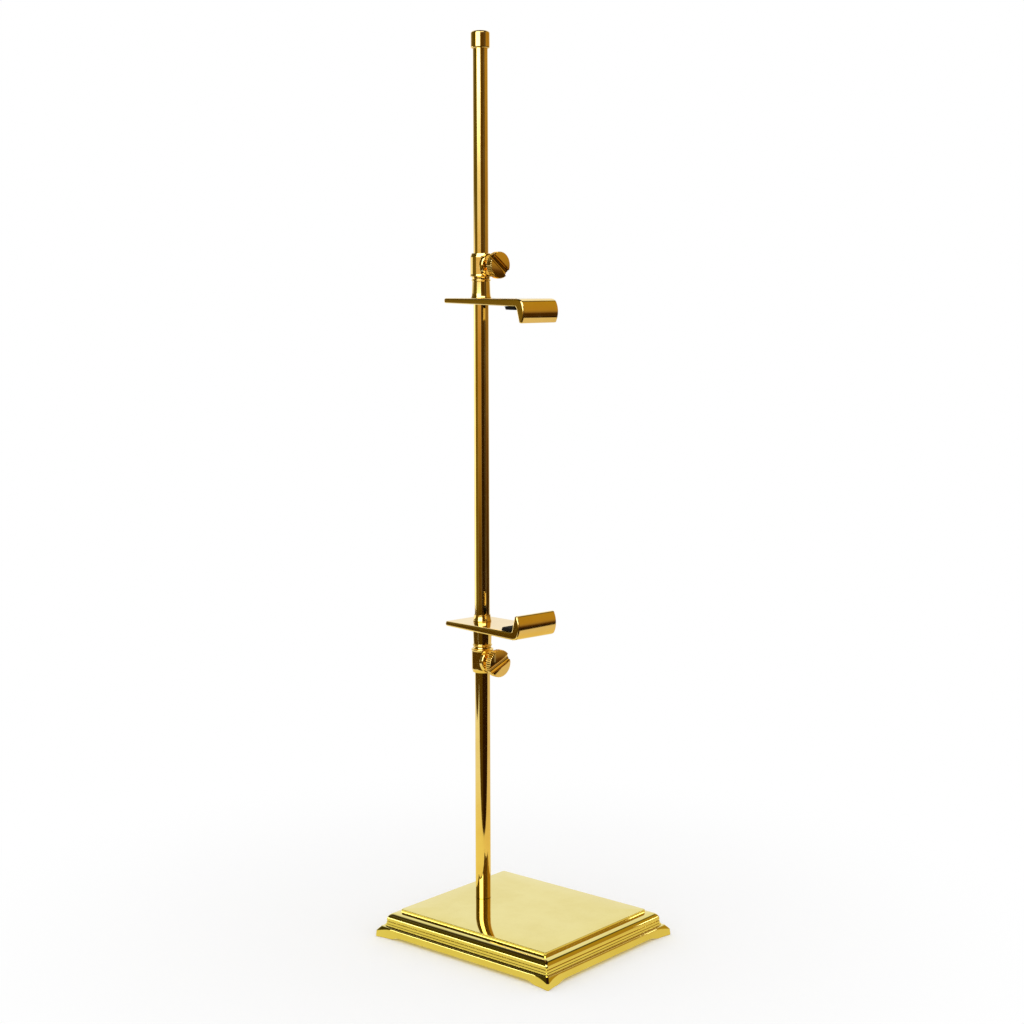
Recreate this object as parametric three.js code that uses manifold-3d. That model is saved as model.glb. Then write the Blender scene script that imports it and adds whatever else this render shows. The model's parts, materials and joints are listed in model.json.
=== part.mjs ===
// Brass retort stand: a moulded base, an upright rod set towards the back, and two bracket clamps
// that slide and turn on the rod and are locked by knurled thumbscrews.
//
// Millimetres, +Z up. The origin is on the table, at the centre of the base's footprint.
// -Y is the front, where the bracket lips are, and +X is the right-hand side.
import * as THREE from 'three';
import { mergeVertices } from 'three/addons/utils/BufferGeometryUtils.js';
import Module from 'manifold-3d';

// ---------------------------------------------------------------- driving dimensions
const TOTAL_HEIGHT = 750;
const ROD_DIAMETER = 12.7;

const BASE_HEIGHT = 22.4;
const BASE_TOP_DEPTH = 153; // flat top face, front to back
const BASE_TOP_WIDTH = 128; // flat top face, side to side
const ROD_SET_BACK = 32.6; // rod axis to the rear edge of the flat top face

const BRACKET_WIDTH = 41.6;
const BRACKET_REAR = 24; // rod axis to the rear end of the plate
const BRACKET_FRONT = 68; // rod axis to the front of the lip
const LIP_HEIGHT = 20;
const UPPER_PLATE_HEIGHT = 526; // outer (top) face of the upper plate above the table
const LOWER_PLATE_HEIGHT = 249.6; // outer (under) face of the lower plate above the table
const UPPER_TURN = -4.2; // degrees each bracket stands turned about the rod
const LOWER_TURN = -8.4;

// ---------------------------------------------------------------- clearances and round counts
const SEATING_GAP = 0.3; // between pieces that rest on or are brazed to each other
const RUNNING_GAP = 0.2; // radial, between pieces that slide or turn on each other
const ROUND_SEGMENTS = 40;
const SMALL_ROUND_SEGMENTS = 24;

// ---------------------------------------------------------------- base casting
const MOULDING_REACH = 15.2; // how far the foot stands out beyond the flat top face
const BASE_ROOF = 5; // metal left above the hollow underside
const FOOT_FLAT = 11.5; // length of each corner foot along its side
const ARCH_RAMP = 10;
const ARCH_HEIGHT = 3.8;
const BOSS_RADIUS = 14;
const BOSS_BOTTOM = 10; // the rod boss stops this far above the table

// ---------------------------------------------------------------- rod, cap and foot fastening
const ROD_RADIUS = ROD_DIAMETER / 2;
const ROD_Y = BASE_TOP_DEPTH / 2 - ROD_SET_BACK;
const SPIGOT_RADIUS = 4;
const SPIGOT_BOTTOM = 0.8;
const WASHER_RADIUS = 10;
const WASHER_THICKNESS = 1.6;
const NUT_ACROSS_FLATS = 13;
const NUT_HEIGHT = 6.3;
const CAP_RADIUS = 8.05;
const CAP_HEIGHT = 14;
const CAP_ROOF = 2.6;

// ---------------------------------------------------------------- bracket plate, pad, neck and collar
const PLATE_REAR_THICKNESS = 4.2;
const PLATE_FRONT_THICKNESS = 6.4;
const LIP_ROOT = 61.5; // rod axis to the inner face of the lip
const LIP_BULGE = 2.8; // crown of the lip's front face
const INSIDE_ROUND = 2.5; // between the gripping face and the lip
const PAD_DEPTH = 13.5;
const PAD_THICKNESS = 3;
const NECK_LENGTH = 17.5;
const NECK_RADIUS = 7.8;
const NECK_TUBE_RADIUS = 7.2; // where the neck runs through the plate and into the collar
const GLAND_RADIUS = 7.75; // flared end of the lower neck, on the gripping face
const GLAND_HEIGHT = 5.5;
const COLLAR_LENGTH = 20.2;
const COLLAR_RADIUS = 8.9;
const COLLAR_RIM_RADIUS = 9.25;
const NECK_ENGAGEMENT = 4;
const LINER_THICKNESS = 0.6;
const LINER_LENGTH = 14.5;
const LINER_SPLIT = 1.6;

// ---------------------------------------------------------------- thumbscrew; distances are from the rod axis
const SCREW_HEIGHT = 27.6; // screw axis above the plate's outer face
const BOSS_DISC_RADIUS = 9.7;
const BOSS_DISC_BACK = 7.5;
const BOSS_DISC_FACE = 11.5;
const SHANK_RADIUS = 2.8;
const SHOE_RADIUS = 2.2;
const SHOE_LENGTH = 1.1;
const SCREW_NECK_START = 12.8;
const SCREW_NECK_RADIUS = 4.4;
const HEAD_BACK = 17.4;
const HEAD_FACE = 24.2;
const HEAD_RADIUS = 11.35;
const KNURL_DEPTH = 0.45;
const KNURL_RIDGES = 36;
const SLOT_RADIUS = 3.2;
const SLOT_AXIS_DEPTH = 0.3;
const UPPER_SLOT_ANGLE = -38; // degrees about the screw axis, seen from the front
const LOWER_SLOT_ANGLE = 24;

const LINER_BORE = ROD_RADIUS + RUNNING_GAP;
const LINER_RADIUS = LINER_BORE + LINER_THICKNESS;
const COLLAR_BORE = LINER_RADIUS + RUNNING_GAP;
const COLLAR_END = NECK_LENGTH + COLLAR_LENGTH;

// ---------------------------------------------------------------- materials
function metal(color, roughness) {
  return new THREE.MeshStandardMaterial({ color, metalness: 1, roughness });
}

function matt(color) {
  return new THREE.MeshStandardMaterial({ color, metalness: 0, roughness: 0.9 });
}

const BRIGHT_BRASS = 0xe2c65c;
const WARM_BRASS = 0xb8852f;
const ZINC_STEEL = 0xa9adb0;
const BLACK_FELT = 0x101010;
const BROWN_FIBRE = 0x5b3a24;

// ---------------------------------------------------------------- solids from three.js geometry
const wasm = await Module();
wasm.setup();

function solid(geometry) {
  const bare = geometry.clone();
  bare.deleteAttribute('normal');
  bare.deleteAttribute('uv');
  const merged = mergeVertices(bare);
  const corners = merged.index.array;
  const kept = [];
  for (let i = 0; i < corners.length; i += 3) {
    const [a, b, c] = corners.slice(i, i + 3);
    if (a !== b && b !== c && c !== a) kept.push(a, b, c);
  }
  const mesh = new wasm.Mesh({
    numProp: 3,
    vertProperties: new Float32Array(merged.attributes.position.array),
    triVerts: new Uint32Array(kept),
  });
  return new wasm.Manifold(mesh);
}

function geometryOf(manifold) {
  const { vertProperties, triVerts } = manifold.getMesh();
  const geometry = new THREE.BufferGeometry();
  geometry.setAttribute('position', new THREE.BufferAttribute(vertProperties, 3));
  geometry.setIndex(new THREE.BufferAttribute(triVerts, 1));
  return geometry;
}

function piece(name, shape, material) {
  const flat = geometryOf(shape).toNonIndexed();
  flat.computeVertexNormals();
  const mesh = new THREE.Mesh(flat, material);
  mesh.name = name;
  return mesh;
}

// A turned solid about +Z. The outline is a list of [radius, height], or a closed loop for a ring.
function turned(outline, segments = ROUND_SEGMENTS) {
  const points = outline.map(([radius, height]) => new THREE.Vector2(radius, height));
  if (THREE.ShapeUtils.area(points) < 0) points.reverse();
  const onAxis = points[0].x === 0 && points.at(-1).x === 0;
  if (!onAxis) points.push(points[0].clone());
  return solid(new THREE.LatheGeometry(points, segments).rotateX(Math.PI / 2));
}

// A prism whose outline is drawn in (front-back, up) or (side-side, up), centred on its long axis.
function prism(shape, length, curveSegments = 8) {
  const geometry = new THREE.ExtrudeGeometry(shape, { depth: length, bevelEnabled: false, curveSegments });
  return solid(geometry.translate(0, 0, -length / 2).rotateX(Math.PI / 2));
}

// The same prism turned to run side to side, its outline's x axis pointing to the front (-Y).
function sidewaysPrism(shape, length, curveSegments = 8) {
  return prism(shape, length, curveSegments).rotate([0, 0, -90]);
}

// A solid drawn about +Z, laid along the screw axis so that its height points to the front.
function alongScrew(shape) {
  return shape.rotate([90, 0, 0]).translate([0, 0, SCREW_HEIGHT]);
}

// ---------------------------------------------------------------- base
// The moulding from the edge of the flat top face, as x outwards and y downwards.
function mouldingCurve() {
  const curve = new THREE.Path();
  curve.moveTo(0, 0);
  curve.quadraticCurveTo(1.9, 0.1, 2.1, 2.5); // small quarter round
  curve.lineTo(2.3, 3.4);
  curve.lineTo(5.4, 4.1); // sloping ledge
  curve.quadraticCurveTo(8.6, 4.7, 9, 8.2); // roll
  curve.quadraticCurveTo(9.3, 11, 11.2, 11.2); // cove
  curve.lineTo(12.6, 11.4); // fillet
  curve.quadraticCurveTo(13.8, 11.6, 14.1, 13); // plinth edge
  curve.lineTo(15.9, 20.6);
  curve.quadraticCurveTo(16.2, 22.2, MOULDING_REACH, BASE_HEIGHT);
  return curve.getPoints(5);
}

// A symmetric section from its right-hand points, which run downwards as [x, height].
function mirroredSection(rightPoints) {
  const left = rightPoints.map(([x, height]) => [-x, height]).reverse();
  return new THREE.Shape([...rightPoints, ...left].map(([x, height]) => new THREE.Vector2(x, height)));
}

function mouldingSection(halfTop) {
  return mirroredSection(mouldingCurve().map((p) => [halfTop + p.x, BASE_HEIGHT - p.y]));
}

// The hollow follows the moulding inside, leaving a wall of about four millimetres at the foot.
function hollowSection(halfTop) {
  return mirroredSection([
    [halfTop - 4, BASE_HEIGHT - BASE_ROOF],
    [halfTop + 4, BASE_HEIGHT / 2],
    [halfTop + 9, BASE_HEIGHT / 3],
    [halfTop + 10.5, -1],
  ]);
}

// The shallow arch between two corner feet.
function archSection(halfTop) {
  const footEnd = halfTop + MOULDING_REACH - FOOT_FLAT;
  const shape = new THREE.Shape();
  shape.moveTo(-footEnd, -1);
  shape.lineTo(footEnd, -1);
  shape.lineTo(footEnd, 0);
  shape.quadraticCurveTo(footEnd - 1.5, ARCH_HEIGHT, footEnd - ARCH_RAMP, ARCH_HEIGHT);
  shape.lineTo(ARCH_RAMP - footEnd, ARCH_HEIGHT);
  shape.quadraticCurveTo(1.5 - footEnd, ARCH_HEIGHT, -footEnd, 0);
  return shape;
}

// Two crossed prisms meet in mitred corners, so one outline gives all four sides.
function crossed(sectionFor) {
  const halfWidth = BASE_TOP_WIDTH / 2;
  const halfDepth = BASE_TOP_DEPTH / 2;
  const length = 2 * (halfDepth + 4 * MOULDING_REACH);
  return [prism(sectionFor(halfWidth), length), sidewaysPrism(sectionFor(halfDepth), length)];
}

function baseCasting() {
  const [outerAcross, outerAlong] = crossed(mouldingSection);
  const [hollowAcross, hollowAlong] = crossed(hollowSection);
  const [archAcross, archAlong] = crossed(archSection);
  const roof = BASE_HEIGHT - BASE_ROOF / 2;
  const boss = turned([
    [0, BOSS_BOTTOM],
    [BOSS_RADIUS, BOSS_BOTTOM],
    [BOSS_RADIUS + 2, roof],
    [0, roof],
  ]);
  const rodHole = turned([
    [0, 0],
    [SPIGOT_RADIUS + RUNNING_GAP, 0],
    [SPIGOT_RADIUS + RUNNING_GAP, BASE_HEIGHT + 1],
    [0, BASE_HEIGHT + 1],
  ]);
  return outerAcross
    .intersect(outerAlong)
    .subtract(hollowAcross.intersect(hollowAlong))
    .subtract(archAcross)
    .subtract(archAlong)
    .add(boss.translate([0, ROD_Y, 0]))
    .subtract(rodHole.translate([0, ROD_Y, 0]));
}

// ---------------------------------------------------------------- rod, cap, washer and nut
function rod() {
  const shoulder = BASE_HEIGHT + SEATING_GAP;
  const top = TOTAL_HEIGHT - CAP_ROOF - SEATING_GAP;
  const chamfer = 0.8;
  return turned([
    [0, SPIGOT_BOTTOM],
    [SPIGOT_RADIUS - chamfer, SPIGOT_BOTTOM],
    [SPIGOT_RADIUS, SPIGOT_BOTTOM + chamfer],
    [SPIGOT_RADIUS, shoulder],
    [ROD_RADIUS, shoulder],
    [ROD_RADIUS, top - chamfer],
    [ROD_RADIUS - chamfer, top],
    [0, top],
  ]);
}

function rodCap() {
  const socket = ROD_RADIUS + RUNNING_GAP;
  const bottom = TOTAL_HEIGHT - CAP_HEIGHT;
  return turned([
    [socket, bottom],
    [CAP_RADIUS - 0.9, bottom],
    [CAP_RADIUS, bottom + 1],
    [CAP_RADIUS, TOTAL_HEIGHT - 2.2],
    [CAP_RADIUS - 0.6, TOTAL_HEIGHT - 0.9],
    [CAP_RADIUS - 2, TOTAL_HEIGHT - 0.2],
    [0, TOTAL_HEIGHT],
    [0, TOTAL_HEIGHT - CAP_ROOF],
    [socket, TOTAL_HEIGHT - CAP_ROOF],
  ]);
}

function washer(top) {
  const bore = SPIGOT_RADIUS + RUNNING_GAP;
  return turned([
    [bore, top - WASHER_THICKNESS],
    [WASHER_RADIUS, top - WASHER_THICKNESS],
    [WASHER_RADIUS, top],
    [bore, top],
  ]);
}

function hexNut(top) {
  const cornerRadius = NUT_ACROSS_FLATS / Math.sqrt(3);
  const hexagon = new THREE.CylinderGeometry(cornerRadius, cornerRadius, NUT_HEIGHT, 6);
  const body = solid(hexagon.rotateX(Math.PI / 2)).translate([0, 0, top - NUT_HEIGHT / 2]);
  const bore = SPIGOT_RADIUS + RUNNING_GAP;
  const thread = turned([
    [0, top - NUT_HEIGHT - 1],
    [bore, top - NUT_HEIGHT - 1],
    [bore, top + 1],
    [0, top + 1],
  ]);
  return body.subtract(thread);
}

function stand() {
  const group = new THREE.Group();
  const washerTop = BOSS_BOTTOM - SEATING_GAP;
  const nutTop = washerTop - WASHER_THICKNESS - SEATING_GAP;
  const upright = new THREE.Group();
  upright.position.y = ROD_Y;
  upright.add(
    piece('rod', rod(), metal(WARM_BRASS, 0.12)),
    piece('rod_cap', rodCap(), metal(WARM_BRASS, 0.12)),
    piece('rod_foot_washer', washer(washerTop), metal(ZINC_STEEL, 0.4)),
    piece('rod_foot_nut', hexNut(nutTop), metal(ZINC_STEEL, 0.4)),
  );
  group.add(piece('base_casting', baseCasting(), metal(BRIGHT_BRASS, 0.15)), upright);
  return group;
}

// ---------------------------------------------------------------- bracket
// Each bracket is drawn with the outer face of its plate at height 0, its collar above and its lip below,
// the rod along the height axis. The lower bracket is the same set of pieces turned over.
const TAPER_START = PLATE_REAR_THICKNESS / 2 - BRACKET_REAR; // where the rounded rear end meets the flats
const TAPER_END = LIP_ROOT - INSIDE_ROUND;
const TAPER = (PLATE_FRONT_THICKNESS - PLATE_REAR_THICKNESS) / (TAPER_END - TAPER_START);

function plateThickness(forward) {
  return PLATE_REAR_THICKNESS + TAPER * (forward - TAPER_START);
}

// Side outline of the plate and lip, x to the front and y up.
function bracketOutline() {
  const tipRound = 1.7;
  const lipFaceStart = PLATE_FRONT_THICKNESS + PAD_THICKNESS + 2 * SEATING_GAP;
  const shape = new THREE.Shape();
  shape.moveTo(TAPER_START, 0);
  shape.quadraticCurveTo(-BRACKET_REAR, 0, -BRACKET_REAR, -PLATE_REAR_THICKNESS / 2);
  shape.quadraticCurveTo(-BRACKET_REAR, -PLATE_REAR_THICKNESS, TAPER_START, -PLATE_REAR_THICKNESS);
  shape.lineTo(TAPER_END, -PLATE_FRONT_THICKNESS);
  shape.quadraticCurveTo(LIP_ROOT, -PLATE_FRONT_THICKNESS, LIP_ROOT + 0.6, -lipFaceStart);
  shape.lineTo(BRACKET_FRONT - 2 * tipRound - 0.2, -LIP_HEIGHT + tipRound);
  shape.quadraticCurveTo(BRACKET_FRONT - 2 * tipRound, -LIP_HEIGHT, BRACKET_FRONT - tipRound, -LIP_HEIGHT);
  shape.quadraticCurveTo(BRACKET_FRONT, -LIP_HEIGHT, BRACKET_FRONT + 0.3, -LIP_HEIGHT + tipRound);
  shape.bezierCurveTo(
    BRACKET_FRONT + LIP_BULGE, -LIP_HEIGHT * 0.68,
    BRACKET_FRONT + LIP_BULGE, -LIP_HEIGHT * 0.38,
    BRACKET_FRONT, -2.6,
  );
  shape.quadraticCurveTo(BRACKET_FRONT - 1.6, -0.3, BRACKET_FRONT - 6.5, 0);
  return shape;
}

function bracketPlate() {
  const bore = NECK_TUBE_RADIUS + RUNNING_GAP;
  const hole = turned([
    [0, -LIP_HEIGHT],
    [bore, -LIP_HEIGHT],
    [bore, 1],
    [0, 1],
  ]);
  return sidewaysPrism(bracketOutline(), BRACKET_WIDTH).subtract(hole);
}

function gripPad() {
  const front = LIP_ROOT - SEATING_GAP;
  const back = front - PAD_DEPTH;
  const slant = 1.2;
  const shape = new THREE.Shape();
  shape.moveTo(back, -plateThickness(back) - SEATING_GAP);
  shape.lineTo(back + slant, -plateThickness(back) - SEATING_GAP - PAD_THICKNESS);
  shape.lineTo(front, -PLATE_FRONT_THICKNESS - SEATING_GAP - PAD_THICKNESS);
  shape.lineTo(front - INSIDE_ROUND, -PLATE_FRONT_THICKNESS - SEATING_GAP);
  return sidewaysPrism(shape, BRACKET_WIDTH - 1);
}

// The neck runs through the plate into the collar. On the lower bracket its far end is flared into a gland.
function neck(hasGland) {
  const gripFace = -plateThickness(0);
  const collarStart = NECK_LENGTH - SEATING_GAP;
  const gland = [
    [LINER_BORE, gripFace - GLAND_HEIGHT],
    [LINER_BORE + 0.3, gripFace - GLAND_HEIGHT],
    [GLAND_RADIUS - 0.6, gripFace - GLAND_HEIGHT / 2],
    [GLAND_RADIUS, gripFace - 1],
    [GLAND_RADIUS, gripFace - 2 * SEATING_GAP],
    [NECK_TUBE_RADIUS, gripFace - 2 * SEATING_GAP],
  ];
  const plainEnd = [
    [LINER_BORE, gripFace + SEATING_GAP],
    [NECK_TUBE_RADIUS, gripFace + SEATING_GAP],
  ];
  return turned([
    ...(hasGland ? gland : plainEnd),
    [NECK_TUBE_RADIUS, SEATING_GAP],
    [NECK_RADIUS + 0.7, SEATING_GAP],
    [NECK_RADIUS + 0.2, 1.6],
    [NECK_RADIUS, 4],
    [NECK_RADIUS - 0.3, collarStart - 3.4],
    [NECK_RADIUS + 0.3, collarStart - 2.2],
    [NECK_RADIUS - 0.3, collarStart - 1],
    [NECK_RADIUS - 0.1, collarStart],
    [NECK_TUBE_RADIUS - 0.05, collarStart],
    [NECK_TUBE_RADIUS - 0.05, collarStart + NECK_ENGAGEMENT],
    [LINER_BORE, collarStart + NECK_ENGAGEMENT],
  ]);
}

function collar() {
  const blank = turned([
    [COLLAR_BORE, NECK_LENGTH],
    [NECK_RADIUS + 0.3, NECK_LENGTH],
    [COLLAR_RIM_RADIUS, NECK_LENGTH + 1],
    [COLLAR_RIM_RADIUS, NECK_LENGTH + 1.6],
    [COLLAR_RADIUS, NECK_LENGTH + 2.8],
    [COLLAR_RADIUS, COLLAR_END - 2.6],
    [COLLAR_RADIUS - 0.4, COLLAR_END - 1.4],
    [COLLAR_BORE + 0.3, COLLAR_END],
    [COLLAR_BORE, COLLAR_END - 0.3],
  ]);
  const hole = turned([
    [0, 0],
    [SHANK_RADIUS + RUNNING_GAP, 0],
    [SHANK_RADIUS + RUNNING_GAP, BOSS_DISC_FACE],
    [0, BOSS_DISC_FACE],
  ], SMALL_ROUND_SEGMENTS);
  return blank.subtract(alongScrew(hole));
}

// A thin split ring that the screw squeezes on to the rod; its split faces the back.
function liner() {
  const top = COLLAR_END - 0.8;
  const bottom = top - LINER_LENGTH;
  const ring = turned([
    [LINER_BORE, bottom],
    [LINER_RADIUS, bottom],
    [LINER_RADIUS, top],
    [LINER_BORE, top],
  ]);
  const split = new THREE.BoxGeometry(LINER_SPLIT, 2 * LINER_RADIUS, LINER_LENGTH + 2);
  return ring.subtract(solid(split.translate(0, LINER_RADIUS, (top + bottom) / 2)));
}

function screwBoss() {
  const disc = turned([
    [SHANK_RADIUS + RUNNING_GAP, BOSS_DISC_BACK],
    [BOSS_DISC_RADIUS - 0.4, BOSS_DISC_BACK],
    [BOSS_DISC_RADIUS, BOSS_DISC_BACK + 0.4],
    [BOSS_DISC_RADIUS, BOSS_DISC_FACE - 1],
    [BOSS_DISC_RADIUS - 1, BOSS_DISC_FACE],
    [SHANK_RADIUS + RUNNING_GAP, BOSS_DISC_FACE],
  ]);
  const saddle = turned([
    [0, 0],
    [COLLAR_RIM_RADIUS + SEATING_GAP, 0],
    [COLLAR_RIM_RADIUS + SEATING_GAP, COLLAR_END + BOSS_DISC_RADIUS],
    [0, COLLAR_END + BOSS_DISC_RADIUS],
  ]);
  return alongScrew(disc).subtract(saddle);
}

function pressureShoe() {
  const start = COLLAR_BORE;
  const disc = turned([
    [0, start],
    [SHOE_RADIUS - 0.3, start],
    [SHOE_RADIUS, start + 0.3],
    [SHOE_RADIUS, start + SHOE_LENGTH],
    [0, start + SHOE_LENGTH],
  ], SMALL_ROUND_SEGMENTS);
  return alongScrew(disc);
}

function knurledRim() {
  const points = [];
  for (let i = 0; i < 2 * KNURL_RIDGES; i += 1) {
    const angle = (i * Math.PI) / KNURL_RIDGES;
    const radius = HEAD_RADIUS - (i % 2) * KNURL_DEPTH;
    points.push(new THREE.Vector2(radius * Math.cos(angle), radius * Math.sin(angle)));
  }
  const depth = HEAD_FACE - HEAD_BACK;
  const geometry = new THREE.ExtrudeGeometry(new THREE.Shape(points), { depth, bevelEnabled: false });
  return solid(geometry.translate(0, 0, HEAD_BACK));
}

function thumbscrew(slotAngle) {
  const chamfer = 0.7;
  const chamferedBlank = turned([
    [0, HEAD_BACK],
    [HEAD_RADIUS - chamfer, HEAD_BACK],
    [HEAD_RADIUS, HEAD_BACK + chamfer],
    [HEAD_RADIUS, HEAD_FACE - chamfer],
    [HEAD_RADIUS - chamfer, HEAD_FACE],
    [0, HEAD_FACE],
  ]);
  const shankTip = COLLAR_BORE + SHOE_LENGTH + SEATING_GAP;
  const stem = turned([
    [0, shankTip],
    [SHANK_RADIUS - 0.5, shankTip],
    [SHANK_RADIUS, shankTip + 0.5],
    [SHANK_RADIUS, SCREW_NECK_START],
    [SCREW_NECK_RADIUS, SCREW_NECK_START],
    [SCREW_NECK_RADIUS, HEAD_BACK + 1],
    [0, HEAD_BACK + 1],
  ], SMALL_ROUND_SEGMENTS);
  const slotBar = new THREE.CylinderGeometry(SLOT_RADIUS, SLOT_RADIUS, 3 * HEAD_RADIUS, SMALL_ROUND_SEGMENTS);
  const slot = solid(slotBar.rotateZ(Math.PI / 2))
    .translate([0, 0, HEAD_FACE - SLOT_AXIS_DEPTH])
    .rotate([0, 0, slotAngle]);
  return alongScrew(chamferedBlank.intersect(knurledRim()).add(stem).subtract(slot));
}

function bracket(prefix, slotAngle, hasGland) {
  const group = new THREE.Group();
  group.add(
    piece(`${prefix}_plate`, bracketPlate(), metal(WARM_BRASS, 0.18)),
    piece(`${prefix}_grip_pad`, gripPad(), matt(BLACK_FELT)),
    piece(`${prefix}_neck`, neck(hasGland), metal(WARM_BRASS, 0.15)),
    piece(`${prefix}_collar`, collar(), metal(WARM_BRASS, 0.15)),
    piece(`${prefix}_screw_boss`, screwBoss(), metal(WARM_BRASS, 0.15)),
    piece(`${prefix}_friction_liner`, liner(), matt(BROWN_FIBRE)),
    piece(`${prefix}_pressure_shoe`, pressureShoe(), metal(WARM_BRASS, 0.3)),
    piece(`${prefix}_thumbscrew`, thumbscrew(slotAngle), metal(WARM_BRASS, 0.15)),
  );
  return group;
}

// ---------------------------------------------------------------- assembly
function onRod(bracketGroup, height, turn) {
  const carrier = new THREE.Group();
  carrier.position.set(0, ROD_Y, height);
  carrier.rotation.z = THREE.MathUtils.degToRad(turn);
  carrier.add(bracketGroup);
  return carrier;
}

const upperBracket = bracket('upper', UPPER_SLOT_ANGLE, false);
const lowerBracket = bracket('lower', LOWER_SLOT_ANGLE, true); // half a turn leaves its slot at the same slant
lowerBracket.rotation.y = Math.PI;

const retortStand = new THREE.Group();
retortStand.add(
  stand(),
  onRod(upperBracket, UPPER_PLATE_HEIGHT, UPPER_TURN),
  onRod(lowerBracket, LOWER_PLATE_HEIGHT, LOWER_TURN),
);

export default retortStand;
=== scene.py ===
"""Brass retort stand: the finished look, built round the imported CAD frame.

Shapes are drawn in millimetres. Turned pieces are drawn about +Z. Every bracket piece is drawn in its
bracket's own frame: origin on the rod axis at the plate's outer face, -Y to the front, the collar on +Z
and the lip on -Z. The lower bracket is the same set of pieces turned over.
"""

import json
import math

import bmesh
import bpy
from mathutils import Matrix, Vector, noise

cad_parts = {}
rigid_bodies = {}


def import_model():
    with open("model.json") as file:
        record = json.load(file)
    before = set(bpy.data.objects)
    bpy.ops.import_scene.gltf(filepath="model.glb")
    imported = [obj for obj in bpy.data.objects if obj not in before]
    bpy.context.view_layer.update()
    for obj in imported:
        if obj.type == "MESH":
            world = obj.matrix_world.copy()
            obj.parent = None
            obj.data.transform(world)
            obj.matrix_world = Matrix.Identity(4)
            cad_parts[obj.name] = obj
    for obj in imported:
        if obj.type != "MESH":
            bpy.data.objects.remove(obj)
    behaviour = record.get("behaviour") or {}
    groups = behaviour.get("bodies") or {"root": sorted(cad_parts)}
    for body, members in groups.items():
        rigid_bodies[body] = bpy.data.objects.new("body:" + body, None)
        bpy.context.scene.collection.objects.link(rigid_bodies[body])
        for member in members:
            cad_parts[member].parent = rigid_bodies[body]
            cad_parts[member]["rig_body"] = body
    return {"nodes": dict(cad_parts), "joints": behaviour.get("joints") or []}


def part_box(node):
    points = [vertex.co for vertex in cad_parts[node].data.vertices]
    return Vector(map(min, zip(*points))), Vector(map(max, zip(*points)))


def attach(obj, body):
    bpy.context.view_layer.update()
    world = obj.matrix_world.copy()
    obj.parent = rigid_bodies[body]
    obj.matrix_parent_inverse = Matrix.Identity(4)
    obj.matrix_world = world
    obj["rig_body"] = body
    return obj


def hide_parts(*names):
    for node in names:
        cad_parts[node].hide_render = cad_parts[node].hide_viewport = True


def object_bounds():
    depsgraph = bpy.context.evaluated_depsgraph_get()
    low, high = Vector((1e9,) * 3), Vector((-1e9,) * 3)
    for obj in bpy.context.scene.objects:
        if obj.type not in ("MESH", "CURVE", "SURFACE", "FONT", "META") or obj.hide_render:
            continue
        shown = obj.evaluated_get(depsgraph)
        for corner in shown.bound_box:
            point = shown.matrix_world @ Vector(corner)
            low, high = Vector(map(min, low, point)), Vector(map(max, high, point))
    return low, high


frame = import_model()
cad_low, cad_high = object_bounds()

MM = 0.001
TURNED_SEGMENTS = 96
CURVE_STEPS = 8
SHARP_ANGLE = math.radians(30)
ON_AXIS = 0.001  # a profile point closer to the axis than this, in millimetres, counts as on it
SAME_POINT = 1e-5

# ------------------------------------------------------------------ places and sizes from the frame


def cad_box(node):
    """Lowest and highest corner of a CAD node, in millimetres."""
    low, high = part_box(node)
    return low / MM, high / MM


def joint_axis(name):
    return Vector(next(joint for joint in frame["joints"] if joint["name"] == name)["axis"])


def bracket_place(prefix):
    """A bracket's own frame: on the rod axis, at the outer face of its plate."""
    plate_low, plate_high = cad_box(f"{prefix}_plate")
    collar_low, _ = cad_box(f"{prefix}_collar")
    collar_above = collar_low.z > plate_high.z
    up = Vector((0, 0, 1 if collar_above else -1))
    back = -joint_axis(f"{prefix}_screw_travel")
    side = back.cross(up)
    turn = Matrix((side, back, up)).transposed().to_4x4()
    face = plate_high.z if collar_above else plate_low.z
    return Matrix.Translation((ROD_X * MM, ROD_Y * MM, face * MM)) @ turn


def local_box(node, place):
    """A CAD node's box in a bracket's own frame, in millimetres."""
    into = place.inverted()
    points = [into @ vertex.co / MM for vertex in frame["nodes"][node].data.vertices]
    low = Vector(min(point[axis] for point in points) for axis in range(3))
    high = Vector(max(point[axis] for point in points) for axis in range(3))
    return low, high


_, base_high = cad_box("base_casting")
rod_low, rod_high = cad_box("rod")
BASE_HEIGHT = base_high.z
ROD_X = (rod_low.x + rod_high.x) / 2
ROD_Y = (rod_low.y + rod_high.y) / 2
ROD_RADIUS = (rod_high.x - rod_low.x) / 2
ROD_PLACE = Matrix.Translation((ROD_X * MM, ROD_Y * MM, 0))

# ------------------------------------------------------------------ outlines


def along_curve(controls, share):
    """The point at share (0 to 1) of a Bezier curve of any degree."""
    while len(controls) > 1:
        controls = [a.lerp(b, share) for a, b in zip(controls, controls[1:])]
    return controls[0]


def outline(start, *moves, steps=CURVE_STEPS):
    """Points of a flat outline. A move of one point is a line, of two a quadratic, of three a cubic curve."""
    points = [Vector(start)]
    for move in moves:
        controls = [points[-1]] + [Vector(point) for point in move]
        count = 1 if len(move) == 1 else steps
        points += [along_curve(controls, k / count) for k in range(1, count + 1)]
    return points


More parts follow.
